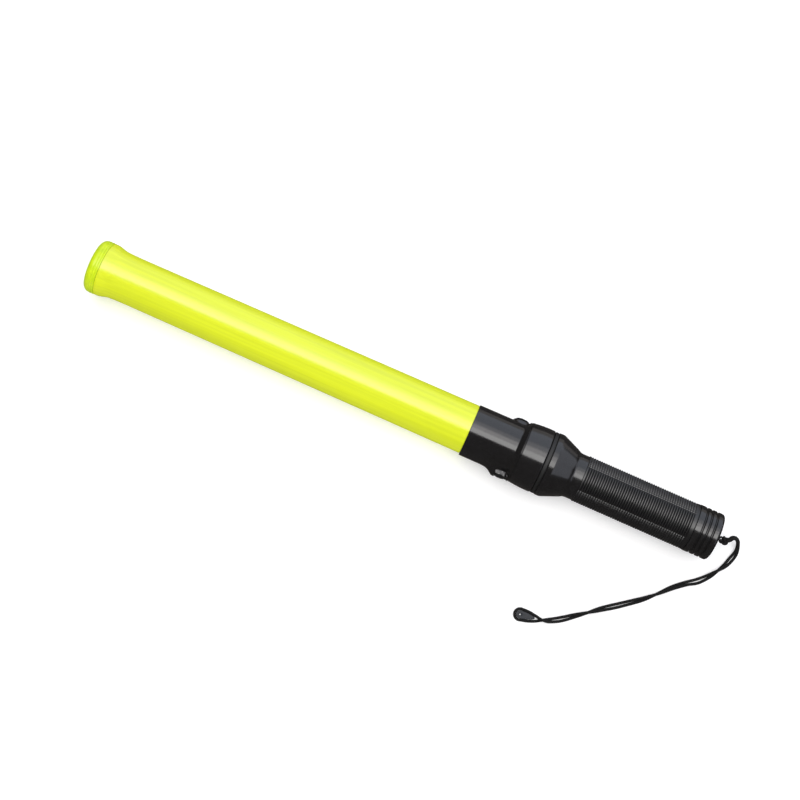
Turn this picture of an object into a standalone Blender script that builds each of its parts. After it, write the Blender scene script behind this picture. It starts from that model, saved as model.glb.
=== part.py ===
"""Traffic baton light, lying on its widest ring.

The baton's axis runs along X, with the tip towards -X and the wrist strap towards +X.  Z = 0 is the
surface it lies on, and the origin is under the middle of the baton.  Lengths in this file are in
millimetres; MM turns them into Blender's metres.  A station is a distance along the axis from the
tip's end face, and a height is a distance from the axis.
"""

import math

import bmesh
import bpy
from mathutils import Matrix, Vector

MM = 0.001
GAP = 0.3  # clearance between pieces that touch

# Overall
BATON_LENGTH = 540.0
RING_R = 26.3  # widest ring, which the baton lies on
SIDES = 36  # facets round the large turned pieces, one of them flat underneath

# Light tube and tip
TIP_R = 21.9
TIP_CORNER_R = 4.8
TIP_REAR = 9.5
TUBE_FRONT_R = 19.45
TUBE_REAR_R = 20.45
TUBE_WALL = 1.5
FLARE_END = 38.0
SPIGOT_R = 19.5
SPIGOT_END = 345.0

# Head
MOUTH = 327.8  # where the tube enters the switch housing
BARREL_R = 21.2
BARREL_BORE_R = 19.8
FLARE_START = 366.8
HOUSING_REAR = 371.4
FLARE_R = 25.0
COLLAR_REAR = 391.0
HOUSING_SPIGOT_R = 23.2
HOUSING_SPIGOT_BORE_R = 21.5
HOUSING_SPIGOT_END = 390.0
FRAME_SEAT = 373.1

# Handle
RIM_FRONT = 394.6
RIM_R = RING_R
CONE_START = 399.0
NECK_START = 416.8
NECK_R = 18.6
GRIP_START = 423.7
GRIP_R = 19.2
GRIP_END = 519.0
BORE_R = 17.3
BORE_START = 385.0
HANDLE_SPIGOT_R = 21.1
THREAD_BORE_R = 17.95
THREAD_BORE_START = 512.2

# Tail cap
CAP_R = 19.6
CAP_FRONT = 519.3
PLUG_R = 17.55
PLUG_BORE_R = 15.3
PLUG_START = 513.1
CAP_LEDGE = 534.6
CAP_WALL_INSIDE = 537.5

# Buttons, both at one station, one on each side
BUTTON_STATION = 363.8
MAIN_BUTTON_R = 5.0
SIDE_BUTTON_R = 5.9
MAIN_COLLAR_R = 6.9
MAIN_COLLAR_TOP = 24.5
GUARD_TOP = 26.2
SIDE_BOSS_R = 7.6
SIDE_BOSS_TOP = 22.9

# Electrical pieces
BOARD_FRONT = 41.0
BOARD_REAR = 352.0
BOARD_WIDTH = 14.0
BOARD_THICKNESS = 1.6
LED_STATIONS = (85.0, 155.0, 225.0, 295.0)
CONTROL_BOARD = 383.1
SCREW_CIRCLE_R = 19.2
SCREW_ANGLES = (30.0, 150.0, 270.0)
BATTERY_R = 16.6
BATTERY_LENGTH = 61.2
BATTERY_FRONTS = (389.0, 450.5)
STRIP_HEIGHT = 17.0
WIRE_R = 0.7

# Wrist strap
CORD_R = 1.2
STRAND_PITCH = 2.5  # between the middles of two strands that lie side by side
CORD_STEP = 5.9
EYE_STATION = 543.2
EYE_RING_R = 2.2
EYE_WIRE_R = 0.6
LINK_TILT = math.radians(38.0)  # how far the knot hangs down from the eye
LINK_YAW = math.radians(15.0)  # and how far it leans to the side that the cord leaves on
BIGHT_R = 4.5

# The doubled strap's middle line from the knot to its far loop, in the row frame: x, y, the lower
# strand's z, half the spacing of the two strands, and the half-turns of twist so far.
STRAP_ROUTE = (
    (282.6, 4.2, 19.4, 1.25, -0.3),
    (284.9, 6.9, 16.0, 1.25, -0.3),
    (288.1, 8.2, 11.5, 1.25, -0.3),
    (291.2, 7.4, 7.2, 1.25, -0.3),
    (293.1, 5.0, 3.6, 1.25, -0.3),
    (294.2, 1.4, 1.8, 1.25, -0.24),
    (294.1, -2.5, 1.3, 1.3, -0.08),
    (292.8, -7.0, 1.2, 1.45, 0.0),
    (290.4, -13.2, 1.2, 1.25, 0.2),
    (286.7, -19.4, 1.2, 1.25, 0.5),
    (281.5, -26.8, 1.2, 1.25, 0.85),
    (274.6, -34.2, 1.2, 1.6, 1.0),
    (267.0, -39.6, 1.2, 1.25, 1.1),
    (258.3, -46.9, 1.2, 1.25, 1.2),
    (249.4, -56.0, 1.2, 1.25, 1.45),
    (240.4, -64.6, 1.2, 1.25, 1.75),
    (230.8, -72.2, 1.2, 1.3, 1.92),
    (221.4, -79.3, 1.2, 1.4, 2.0),
    (212.2, -85.9, 1.2, 1.25, 2.15),
    (203.2, -93.0, 1.2, 1.25, 2.5),
    (194.0, -100.0, 1.2, 1.3, 2.8),
    (185.6, -106.4, 1.2, 1.45, 2.95),
    (177.4, -111.2, 1.2, 1.25, 3.15),
    (171.4, -113.5, 1.2, 1.25, 3.55),
    (166.0, -114.5, 1.2, 2.3, 3.92),
    (160.4, -115.2, 1.2, 3.7, 4.0),
    (154.0, -116.1, 1.2, 4.45, 4.0),
)


# ---------------------------------------------------------------- helpers


def material(name, colour, roughness, metallic=0.0):
    """A plain Principled material."""
    made = bpy.data.materials.new(name)
    made.use_nodes = True
    shader = made.node_tree.nodes["Principled BSDF"]
    shader.inputs["Base Color"].default_value = (*colour, 1.0)
    shader.inputs["Roughness"].default_value = roughness
    shader.inputs["Metallic"].default_value = metallic
    made.diffuse_color = (*colour, 1.0)
    return made


def empty(name, location, rotation=(0.0, 0.0, 0.0), parent=None):
    """An empty that other objects hang from; its location is in millimetres."""
    made = bpy.data.objects.new(name, None)
    bpy.context.collection.objects.link(made)
    made.location = Vector(location) * MM
    made.rotation_euler = rotation
    made.parent = parent
    return made


def add(name, mesh, parent, location, finish, rotation=(0.0, 0.0, 0.0)):
    """Put a mesh or curve in the scene as a named object; its location is in millimetres."""
    made = bpy.data.objects.new(name, mesh)
    bpy.context.collection.objects.link(made)
    made.parent = parent
    made.location = Vector(location) * MM
    made.rotation_euler = rotation
    if finish:
        mesh.materials.append(finish)
    return made


def mesh_of(name, shape, smooth=True):
    """A mesh from a finished bmesh, shaded smooth except across its sharp edges."""
    bmesh.ops.remove_doubles(shape, verts=shape.verts, dist=1e-7)
    bmesh.ops.recalc_face_normals(shape, faces=shape.faces)
    mesh = bpy.data.meshes.new(name)
    shape.to_mesh(mesh)
    shape.free()
    if smooth:
        mesh.shade_smooth()
        mesh.set_sharp_from_angle(angle=math.radians(35))
    return mesh


def arc(x, r, radius, start, end, steps):
    """Points on an arc about (x, r); angles in degrees, 0 towards +X and 90 outwards."""
    turns = [math.radians(start + (end - start) * i / steps) for i in range(steps + 1)]
    return [(x + radius * math.cos(a), r + radius * math.sin(a)) for a in turns]


def turned(name, outline, finish, parent, sides=SIDES, location=(0.0, 0.0, 0.0), rotation=(0.0, 0.0, 0.0)):
    """A piece turned about its X axis from a closed outline of (along, radius) points.

    The radii are to the middles of the facets, so a facet touches what a true circle would.
    """
    shape = bmesh.new()
    start = outline[0][0]
    grow = 1 / math.cos(math.pi / sides)
    ring = [shape.verts.new(((x - start) * MM, 0.0, r * grow * MM)) for x, r in outline]
    open_ended = outline[0][1] == 0.0 and outline[-1][1] == 0.0
    count = len(ring) - 1 if open_ended else len(ring)
    edges = [shape.edges.new((ring[i], ring[(i + 1) % len(ring)])) for i in range(count)]
    half_facet = Matrix.Rotation(math.pi / sides, 3, "X")
    bmesh.ops.rotate(shape, verts=ring, cent=(0, 0, 0), matrix=half_facet)
    bmesh.ops.spin(
        shape,
        geom=ring + edges,
        cent=(0, 0, 0),
        axis=(1, 0, 0),
        angle=2 * math.pi,
        steps=sides,
        use_merge=True,
    )
    along = Vector((start, 0.0, 0.0))
    where = Vector(location) + (along if rotation == (0.0, 0.0, 0.0) else Vector((0.0, 0.0, 0.0)))
    return add(name, mesh_of(name, shape), parent, where, finish, rotation)


def block(name, size, finish, parent, location, bevel=0.0):
    """A box with its middle at location, and its edges bevelled if asked."""
    shape = bmesh.new()
    bmesh.ops.create_cube(shape, size=1.0)
    bmesh.ops.scale(shape, vec=Vector(size) * MM, verts=shape.verts)
    made = add(name, mesh_of(name, shape, smooth=False), parent, location, finish)
    if bevel:
        cut = made.modifiers.new("edge", "BEVEL")
        cut.width = bevel * MM
        cut.segments = 1
    return made


def prism(name, outline, half_width, parent, bevel):
    """A solid with an outline of (along, height) points, standing out half_width on both sides."""
    shape = bmesh.new()
    low = [shape.verts.new((x * MM, r * MM, -half_width * MM)) for x, r in outline]
    face = shape.faces.new(low)
    grown = bmesh.ops.extrude_face_region(shape, geom=[face])["geom"]
    moved = [v for v in grown if isinstance(v, bmesh.types.BMVert)]
    bmesh.ops.translate(shape, verts=moved, vec=(0.0, 0.0, 2 * half_width * MM))
    made = add(name, mesh_of(name, shape), parent, (0.0, 0.0, 0.0), None)
    cut = made.modifiers.new("edge", "BEVEL")
    cut.width = bevel * MM
    cut.segments = 2
    cut.limit_method = "ANGLE"
    return made


def tube(name, points, radius, finish, parent, resolution=1):
    """A round bar along points given in millimetres."""
    curve = bpy.data.curves.new(name, "CURVE")
    curve.dimensions = "3D"
    curve.resolution_u = 1
    curve.render_resolution_u = 0
    curve.bevel_depth = radius * MM
    curve.bevel_resolution = resolution
    curve.use_fill_caps = True
    line = curve.splines.new("POLY")
    line.points.add(len(points) - 1)
    for slot, point in zip(line.points, points):
        slot.co = (*(Vector(point) * MM), 1.0)
    return add(name, curve, parent, (0.0, 0.0, 0.0), finish)


def combine(target, tool, operation):
    """Join or cut target with a tool that isn't part of the object."""
    tool.hide_render = True
    tool.display_type = "WIRE"
    step = target.modifiers.new(f"{operation.lower()} {tool.name}", "BOOLEAN")
    step.operation = operation
    step.solver = "EXACT"
    step.object = tool


def smooth_row(rows, place):
    """The Catmull-Rom value of a table of rows at a fractional row number."""
    last = len(rows) - 1
    i = min(int(place), last - 1)
    t = place - i
    before, here, there, after = (rows[max(0, min(last, i + k))] for k in (-1, 0, 1, 2))
    return [
        0.5 * (2 * b + (c - a) * t + (2 * a - 5 * b + 4 * c - d) * t * t + (3 * b - a - 3 * c + d) * t**3)
        for a, b, c, d in zip(before, here, there, after)
    ]


def coil(height_start, height_end, radius_start, radius_end, turns, steps=10):
    """Points of a spring about X, evenly pitched, whose radius may change along it."""
    points = []
    for i in range(int(turns * steps) + 1):
        share = i / (turns * steps)
        angle = 2 * math.pi * turns * share
        radius = radius_start + (radius_end - radius_start) * share
        along = height_start + (height_end - height_start) * share
        points.append((along, radius * math.cos(angle), radius * math.sin(angle)))
    return points


# ---------------------------------------------------------------- tube and tip


def tip_cap(axis, finish):
    """The plug that closes the flared end: a flat face, a rounded corner and two fine rings."""
    inside = TIP_R - 4.0
    outline = (
        [(0.0, 0.0)]
        + arc(TIP_CORNER_R, TIP_R - TIP_CORNER_R, TIP_CORNER_R, 180, 90, 4)
        + [(5.6, TIP_R), (6.1, TIP_R + 0.3), (6.6, TIP_R)]
        + [(7.8, TIP_R), (8.3, TIP_R + 0.3), (8.8, TIP_R), (TIP_REAR, TIP_R)]
        + [(TIP_REAR, TIP_R - 2.1), (12.5, TIP_R - 2.1), (12.5, TIP_R - 3.7)]
        + [(3.2, inside), (2.0, inside - 1.6), (2.0, 0.0)]
    )
    turned("tip_cap", outline, finish, axis)


def light_tube(axis, finish):
    """The translucent tube: a flared mouth at the tip, a slight taper, and a spigot at the head."""
    front = TIP_REAR + GAP
    shoulder = MOUTH - GAP
    outline = [
        (front, TIP_R),
        (13.0, TIP_R - 0.1),
        (16.0, TIP_R - 0.7),
        (19.0, TIP_R - 1.6),
        (22.5, TUBE_FRONT_R + 0.35),
        (28.0, TUBE_FRONT_R + 0.1),
        (FLARE_END, TUBE_FRONT_R),
        (shoulder, TUBE_REAR_R),
        (shoulder, SPIGOT_R),
        (SPIGOT_END, SPIGOT_R),
        (SPIGOT_END, SPIGOT_R - TUBE_WALL),
        (shoulder - 2.0, SPIGOT_R - TUBE_WALL),
        (shoulder - 6.0, TUBE_REAR_R - TUBE_WALL),
        (FLARE_END, TUBE_FRONT_R - TUBE_WALL),
        (28.0, TUBE_FRONT_R + 0.1 - TUBE_WALL),
        (22.5, TUBE_FRONT_R + 0.35 - TUBE_WALL),
        (19.0, TIP_R - 1.6 - TUBE_WALL),
        (13.0, TIP_R - 1.7),
        (front, TIP_R - 1.7),
    ]
    turned("light_tube", outline, finish, axis)


def disc_with_slot(name, axis, finish, front, thickness, radius, slot_tool):
    """A disc that holds the light board in a slot across its middle."""
    outline = [(front, 0.0), (front, radius), (front + thickness, radius), (front + thickness, 0.0)]
    combine(turned(name, outline, finish, axis, sides=32), slot_tool, "DIFFERENCE")


def light_board(axis, board_finish, holder_finish, lens_finish):
    """The long board inside the tube, its two holders and the lamps on both of its faces."""
    length = BOARD_REAR - BOARD_FRONT
    middle = (BOARD_FRONT + BOARD_REAR) / 2
    block("led_board", (length, BOARD_WIDTH, BOARD_THICKNESS), board_finish, axis, (middle, 0.0, 0.0))
    slot = block(
        "board_slot_cutter",
        (length + 20.0, BOARD_WIDTH + 3 * GAP, BOARD_THICKNESS + 3 * GAP),
        None,
        axis,
        (middle, 0.0, 0.0),
    )
    disc_with_slot("board_tip_holder", axis, holder_finish, 44.0, 3.0, TUBE_FRONT_R - TUBE_WALL - 0.4, slot)
    disc_with_slot("board_head_holder", axis, holder_finish, SPIGOT_END + GAP, 4.0, BARREL_BORE_R - GAP, slot)
    base = BOARD_THICKNESS / 2 + GAP
    outline = [(base, 0.0), (base, 2.9), (base + 1.0, 2.9), (base + 1.0, 2.5), (base + 4.8, 2.5)]
    outline += [(base + 6.4, 1.7), (base + 7.1, 0.0)]
    for side, turn in (("upper", -math.pi / 2), ("lower", math.pi / 2)):
        for number, station in enumerate(LED_STATIONS, start=1):
            mount = empty(f"led_{side}_{number}_axis", (station, 0.0, 0.0), (0.0, turn, 0.0), axis)
            turned(f"led_{side}_{number}", outline, lens_finish, mount, sides=12)


# ---------------------------------------------------------------- head


def switch_housing(axis, main_side, other_side, finish):
    """The barrel that takes the tube, with a guarded boss on one side and a low boss on the other."""
    outside = [
        (MOUTH, 0.0),
        (MOUTH, BARREL_R - 0.5),
        (MOUTH + 0.6, BARREL_R),
        (FLARE_START, BARREL_R + 0.2),
        *arc(FLARE_START, FLARE_R + 0.8, FLARE_R + 0.6 - BARREL_R, 285, 350, 4),
        (HOUSING_REAR, FLARE_R),
        (HOUSING_REAR, HOUSING_SPIGOT_R),
        (HOUSING_SPIGOT_END, HOUSING_SPIGOT_R),
        (HOUSING_SPIGOT_END, 0.0),
    ]
    housing = turned("switch_housing", outside, finish, axis)
    collar = turned(
        "main_collar_shape",
        [(15.0, 0.0), (15.0, MAIN_COLLAR_R), (MAIN_COLLAR_TOP - 0.6, MAIN_COLLAR_R)]
        + [(MAIN_COLLAR_TOP, MAIN_COLLAR_R - 0.6), (MAIN_COLLAR_TOP, 0.0)],
        None,
        main_side,
        sides=24,
    )
    combine(housing, collar, "UNION")
    guard_front = BUTTON_STATION - MAIN_BUTTON_R - GAP
    guard_outline = [
        (346.6, 15.0),
        (346.6, BARREL_R - 0.3),
        (350.6, BARREL_R + 0.5),
        (353.4, BARREL_R + 2.0),
        (356.2, BARREL_R + 4.0),
        (guard_front - 0.6, GUARD_TOP),
        (guard_front + 2.6, GUARD_TOP),
        (BUTTON_STATION, FLARE_R + 0.2),
        (HOUSING_REAR - 0.1, FLARE_R - 0.1),
        (HOUSING_REAR - 0.1, 15.0),
    ]
    guard = prism("button_guard_shape", guard_outline, MAIN_BUTTON_R + 0.4, axis, bevel=1.2)
    guard.rotation_euler = (math.pi, 0.0, 0.0)
    combine(housing, guard, "UNION")
    low_boss = turned(
        "side_boss_shape",
        [(15.0, 0.0), (15.0, SIDE_BOSS_R + 0.8), (SIDE_BOSS_TOP - 1.4, SIDE_BOSS_R + 0.8)]
        + [(SIDE_BOSS_TOP, SIDE_BOSS_R - 0.6), (SIDE_BOSS_TOP, 0.0)],
        None,
        other_side,
        sides=24,
    )
    combine(housing, low_boss, "UNION")
    inside = [
        (MOUTH - 1.0, 0.0),
        (MOUTH - 1.0, BARREL_BORE_R),
        (FRAME_SEAT, BARREL_BORE_R),
        (FRAME_SEAT, HOUSING_SPIGOT_BORE_R),
        (HOUSING_SPIGOT_END + 1.0, HOUSING_SPIGOT_BORE_R),
        (HOUSING_SPIGOT_END + 1.0, 0.0),
    ]
    bore = turned("housing_bore_cutter", inside, None, axis)
    for side, radius, label in ((main_side, MAIN_BUTTON_R, "main"), (other_side, SIDE_BUTTON_R, "side")):
        hole = [(10.0, 0.0), (10.0, radius + GAP), (30.0, radius + GAP), (30.0, 0.0)]
        combine(bore, turned(f"{label}_button_hole_cutter", hole, None, side, sides=24), "UNION")
    combine(housing, bore, "DIFFERENCE")


def head_collar(axis, finish):
    """The widest ring, which slides over the housing's spigot and carries the baton on a table."""
    front = HOUSING_REAR + GAP + 0.1
    inner = HOUSING_SPIGOT_R + GAP
    outline = [
        (front, inner),
        (front, FLARE_R - 0.2),
        (front + 0.6, FLARE_R + 0.3),
        (front + 11.0, RING_R),
        (COLLAR_REAR - 0.7, RING_R),
        (COLLAR_REAR, RING_R - 0.7),
        (COLLAR_REAR, inner),
    ]
    turned("head_collar", outline, finish, axis)


def seam_gasket(axis, finish):
    """The rubber ring in the groove between the collar and the handle."""
    front, rear = COLLAR_REAR + GAP, RIM_FRONT - GAP
    inner, outer = HANDLE_SPIGOT_R + GAP, RIM_R - 0.5
    middle = (front + rear) / 2
    outline = [
        (front, inner),
        (front, outer),
        (middle, outer + 0.2),
        (rear, outer),
        (rear, inner),
    ]
    turned("seam_gasket", outline, finish, axis)


def button(name, side, finish, radius, base, top, flange_r, flange_height):
    """A push button: a dome outside, a flange that keeps it in, and a stem down to its switch."""
    rise = top - base
    dome = [(base + rise * math.sin(a), radius * math.cos(a) ** 0.7) for a in dome_angles(4)]
    outline = (
        [(flange_height - 1.5, 0.0), (flange_height - 1.5, 2.0), (flange_height, 2.0)]
        + [(flange_height, flange_r), (flange_height + 1.1, flange_r), (flange_height + 1.1, radius)]
        + dome
        + [(top, 0.0)]
    )
    turned(name, outline, finish, side, sides=24)


def dome_angles(steps):
    """Angles up a dome, from its foot almost to its crown."""
    return [math.radians(75.0 * i / steps) for i in range(steps + 1)]


def switches(axis, main_side, other_side, body_finish, frame_finish, spring_finish):
    """Both push switches, their return springs, and the frame that holds them back to back."""
    for side, label in ((main_side, "main"), (other_side, "side")):
        body = block(f"{label}_switch", (6.6, 8.4, 8.4), body_finish, side, (8.9, 0.0, 0.0), bevel=0.5)
        plunger = [(11.0, 0.0), (11.0, 1.6), (13.3, 1.6), (13.3, 0.0)]
        combine(body, turned(f"{label}_plunger_shape", plunger, None, side, sides=12), "UNION")
        tube(f"{label}_button_spring", coil(13.0, 16.2, 3.6, 3.6, 3.0), 0.3, spring_finish, side, resolution=0)
    frame = block("switch_frame", (19.6, 10.4, 16.0), frame_finish, axis, (364.0, 0.0, 0.0), bevel=0.8)
    seat = FRAME_SEAT + GAP
    disc = [(seat, 0.0), (seat, HOUSING_SPIGOT_BORE_R - GAP), (seat + 2.0, HOUSING_SPIGOT_BORE_R - GAP)]
    combine(frame, turned("frame_disc_shape", disc + [(seat + 2.0, 0.0)], None, axis, sides=32), "UNION")
    for number, (y, z) in enumerate(((-9.0, 0.0), (9.0, 0.0), (-3.0, 13.2), (3.0, 13.2))):
        hole = [(seat - 1.0, 0.0), (seat - 1.0, 1.5), (seat + 3.0, 1.5), (seat + 3.0, 0.0)]
        tool = turned(f"frame_hole_cutter_{number}", hole, None, axis, sides=12, location=(0.0, y, z))
        combine(frame, tool, "DIFFERENCE")


def control_board(axis, board_finish, chip_finish, can_finish, screw_finish, brass_finish):
    """The round board behind the switches, with its parts, its screws and the front battery contact."""
    rear = CONTROL_BOARD + BOARD_THICKNESS
    disc = [(CONTROL_BOARD, 0.0), (CONTROL_BOARD, HANDLE_SPIGOT_R - GAP), (rear, HANDLE_SPIGOT_R - GAP)]
    board = turned("control_board", disc + [(rear, 0.0)], board_finish, axis, sides=32)
    for number, angle in enumerate(SCREW_ANGLES, start=1):
        y = SCREW_CIRCLE_R * math.cos(math.radians(angle))
        z = SCREW_CIRCLE_R * math.sin(math.radians(angle))
        hole = [(CONTROL_BOARD - 1.0, 0.0), (CONTROL_BOARD - 1.0, 1.3), (rear + 1.0, 1.3), (rear + 1.0, 0.0)]
        tool = turned(f"board_hole_cutter_{number}", hole, None, axis, sides=12, location=(0.0, y, z))
        combine(board, tool, "DIFFERENCE")
        under = CONTROL_BOARD - GAP
        screw = [(under - 1.4, 0.0), (under - 1.4, 1.2), (under - 0.9, 1.7), (under, 1.7), (under, 0.9)]
        screw += [(rear + 5.0, 0.9), (rear + 5.6, 0.0)]
        turned(f"board_screw_{number}", screw, screw_finish, axis, sides=12, location=(0.0, y, z))
    chip_x = CONTROL_BOARD - GAP - 0.8
    block("driver_chip", (1.6, 6.0, 5.0), chip_finish, axis, (chip_x, 0.0, -8.0), bevel=0.2)
    can = [(CONTROL_BOARD - GAP - 6.0, 0.0), (CONTROL_BOARD - GAP - 6.0, 2.3)]
    can += [(CONTROL_BOARD - GAP - 5.6, 2.6), (CONTROL_BOARD - GAP, 2.6), (CONTROL_BOARD - GAP, 0.0)]
    turned("filter_capacitor", can, can_finish, axis, sides=16, location=(0.0, 0.0, 2.5))
    front = rear + GAP
    contact = [(front, 0.0), (front, 5.4), (front + 0.6, 5.4), (front + 1.2, 3.8)]
    contact += [(388.2, 3.2), (388.7, 2.4), (388.7, 0.0)]
    turned("front_contact", contact, brass_finish, axis, sides=20)


def wiring(axis, red, black):
    """The leads from the control board to the light board and to the switches."""
    end = CONTROL_BOARD - GAP - 0.1
    for name, y, finish in (("led_wire_red", 3.0, red), ("led_wire_black", -3.0, black)):
        route = [(end, y, 11.6), (379.0, y, 12.8), (374.4, y, 13.2), (368.0, y, 13.2), (361.0, y, 12.6)]
        route += [(356.0, y, 11.0), (352.6, y, 8.0), (351.0, y, 4.6), (350.6, y, 1.1)]
        tube(name, route, WIRE_R, finish, axis)
    for name, y, finish in (("main_switch_lead", -9.0, red), ("side_switch_lead", 9.0, black)):
        route = [(BUTTON_STATION + 4.5, y, 0.0), (371.0, y, 0.2), (374.4, y, 0.0), (379.0, y, 0.6), (end, y, 1.0)]
        tube(name, route, WIRE_R, finish, axis)


# ---------------------------------------------------------------- handle and batteries


def handle_shell(axis, finish):
    """The cone, neck and grip in one moulding, with the battery bore through it."""
    inner_rim = HANDLE_SPIGOT_R
    outline = [
        (BORE_START, BORE_R),
        (BORE_START, inner_rim),
        (RIM_FRONT, inner_rim),
        (RIM_FRONT, RIM_R - 0.4),
        (RIM_FRONT + 0.4, RIM_R),
        (CONE_START, RIM_R),
        (CONE_START + 1.6, RIM_R - 0.6),
        (NECK_START - 3.0, NECK_R + 1.6),
        (NECK_START - 1.0, NECK_R + 0.4),
        (NECK_START + 1.0, NECK_R),
        (GRIP_START, NECK_R),
        (GRIP_START + 0.6, GRIP_R),
        (GRIP_END, GRIP_R),
        (GRIP_END, THREAD_BORE_R),
        (THREAD_BORE_START, THREAD_BORE_R),
        (THREAD_BORE_START, BORE_R),
    ]
    handle = turned("handle_shell", outline, finish, axis)
    channel_length = THREAD_BORE_START + 2.0 - BORE_START
    channel = block(
        "strip_channel_cutter",
        (channel_length + 2.0, 6.8, 2.0),
        None,
        axis,
        (BORE_START - 1.0 + channel_length / 2, 0.0, STRIP_HEIGHT - 0.25),
    )
    combine(handle, channel, "DIFFERENCE")
    for number, angle in enumerate(SCREW_ANGLES, start=1):
        y = SCREW_CIRCLE_R * math.cos(math.radians(angle))
        z = SCREW_CIRCLE_R * math.sin(math.radians(angle))
        hole = [(BORE_START - 1.0, 0.0), (BORE_START - 1.0, 1.2), (BORE_START + 6.0, 1.2), (BORE_START + 6.0, 0.0)]
        tool = turned(f"handle_hole_cutter_{number}", hole, None, axis, sides=12, location=(0.0, y, z))
        combine(handle, tool, "DIFFERENCE")


def battery(name, front, axis, finish):
    """A large round cell, its positive nub towards the head."""
    outline = [
        (front, 0.0),
        (front, 4.4),
        (front + 0.3, 4.7),
        (front + 1.6, 4.7),
        (front + 1.6, BATTERY_R - 0.9),
        (front + 2.4, BATTERY_R),
        (front + BATTERY_LENGTH - 0.8, BATTERY_R),
        (front + BATTERY_LENGTH, BATTERY_R - 0.9),
        (front + BATTERY_LENGTH, 0.0),
    ]
    turned(name, outline, finish, axis, sides=24)


def contact_strip(axis, finish):
    """The strip along the bore that brings the tail's contact to the control board."""
    front = CONTROL_BOARD + BOARD_THICKNESS + GAP
    rear = THREAD_BORE_START - 0.1
    size = (rear - front, 6.0, 0.4)
    block("contact_strip", size, finish, axis, ((front + rear) / 2, 0.0, STRIP_HEIGHT + 0.2))


# ---------------------------------------------------------------- tail cap


def tail_cap(cap_axis, finish):
    """The screw cap: three grip grooves outside, a threaded plug and a hole for the strap's eye."""
    outside = [(CAP_FRONT, PLUG_R), (CAP_FRONT, CAP_R - 0.5), (CAP_FRONT + 0.5, CAP_R - 0.1)]
    for groove in (525.1, 529.4, 533.9):
        outside += [(groove - 1.0, CAP_R - 0.1), (groove - 0.6, CAP_R - 0.9)]
        outside += [(groove + 0.6, CAP_R - 0.9), (groove + 1.0, CAP_R - 0.1)]
    corner = 2.4
    outside += arc(BATON_LENGTH - corner, CAP_R - 0.1 - corner, corner, 90, 0, 3)
    inside = [
        (BATON_LENGTH, 1.5),
        (CAP_WALL_INSIDE, 1.5),
        (CAP_WALL_INSIDE, 4.6),
        (CAP_LEDGE, 4.6),
        (CAP_LEDGE, PLUG_BORE_R),
        (PLUG_START, PLUG_BORE_R),
        (PLUG_START, PLUG_R),
        (516.6, PLUG_R),
        (516.6, 16.25),
        (518.6, 16.25),
        (518.6, PLUG_R),
    ]
    turned("tail_cap", outside + inside, finish, cap_axis)


def tail_seal(cap_axis, finish):
    """The O-ring in the plug's groove."""
    turned("tail_o_ring", arc(517.6, 17.15, 0.55, 0, 300, 5), finish, cap_axis, sides=24)


def tail_contact(cap_axis, cup_finish, spring_finish):
    """The pressed cup inside the cap and the spring that pushes the cells forward."""
    bottom = CAP_LEDGE - GAP
    wall, flange = PLUG_BORE_R - 0.4, 17.3
    lip = PLUG_START - GAP
    cup = [
        (bottom, 0.0),
        (bottom, wall),
        (lip, wall),
        (lip, flange),
        (lip - 0.4, flange),
        (lip - 0.4, wall - 0.4),
        (bottom - 0.4, wall - 0.4),
        (bottom - 0.4, 0.0),
    ]
    turned("tail_contact_cup", cup, cup_finish, cap_axis, sides=24)
    battery_rear = BATTERY_FRONTS[1] + BATTERY_LENGTH
    wire = 0.6
    spring = coil(bottom - 0.4 - GAP - wire, battery_rear + GAP + wire, 13.0, 6.0, 5.5)
    tube("tail_spring", spring, wire, spring_finish, cap_axis)


# ---------------------------------------------------------------- wrist strap


def strap_eye(cap_axis, finish):
    """The swivel pin in the middle of the cap, with a small ring outside for the cord."""
    head = CAP_LEDGE + 0.5
    outline = [(head, 0.0), (head, 3.0), (head + 1.8, 3.0), (head + 1.8, 1.1), (541.4, 1.1), (541.4, 0.0)]
    pin = turned("strap_eye", outline, finish, cap_axis, sides=12)
    ring = ring_shape("eye_ring_shape", EYE_RING_R, EYE_WIRE_R, cap_axis, (EYE_STATION, 0.0, 0.0))
    ring.rotation_euler = (math.pi / 2, 0.0, 0.0)
    combine(pin, ring, "UNION")


def ring_shape(name, major, minor, parent, location):
    """A round ring lying in its own XY plane."""
    shape = bmesh.new()
    section = []
    for i in range(8):
        a = 2 * math.pi * (i + 0.5) / 8
        section.append(shape.verts.new(((major + minor * math.cos(a)) * MM, 0.0, minor * math.sin(a) * MM)))
    edges = [shape.edges.new((section[i], section[(i + 1) % 8])) for i in range(8)]
    bmesh.ops.spin(
        shape,
        geom=section + edges,
        cent=(0, 0, 0),
        axis=(0, 0, 1),
        angle=2 * math.pi,
        steps=16,
        use_merge=True,
    )
    return add(name, mesh_of(name, shape), parent, location, None)


def strap_knot(cap_axis, finish):
    """The knot below the eye, with the small loop that passes through the eye's ring."""
    tilt = (0.0, LINK_TILT, LINK_YAW)
    hang = empty("strap_hang", (EYE_STATION, 0.0, 0.0), tilt, cap_axis)
    shape = bmesh.new()
    bmesh.ops.create_uvsphere(shape, u_segments=14, v_segments=8, radius=1.0)
    bmesh.ops.scale(shape, vec=Vector((3.4, 3.1, 2.7)) * MM, verts=shape.verts)
    knot = add("strap_knot", mesh_of("strap_knot", shape), hang, (6.6, 0.0, 0.0), finish)
    loop = ring_shape("link_loop_shape", 2.2, 0.9, hang, (2.6, 0.0, 0.0))
    combine(knot, loop, "UNION")


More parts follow.
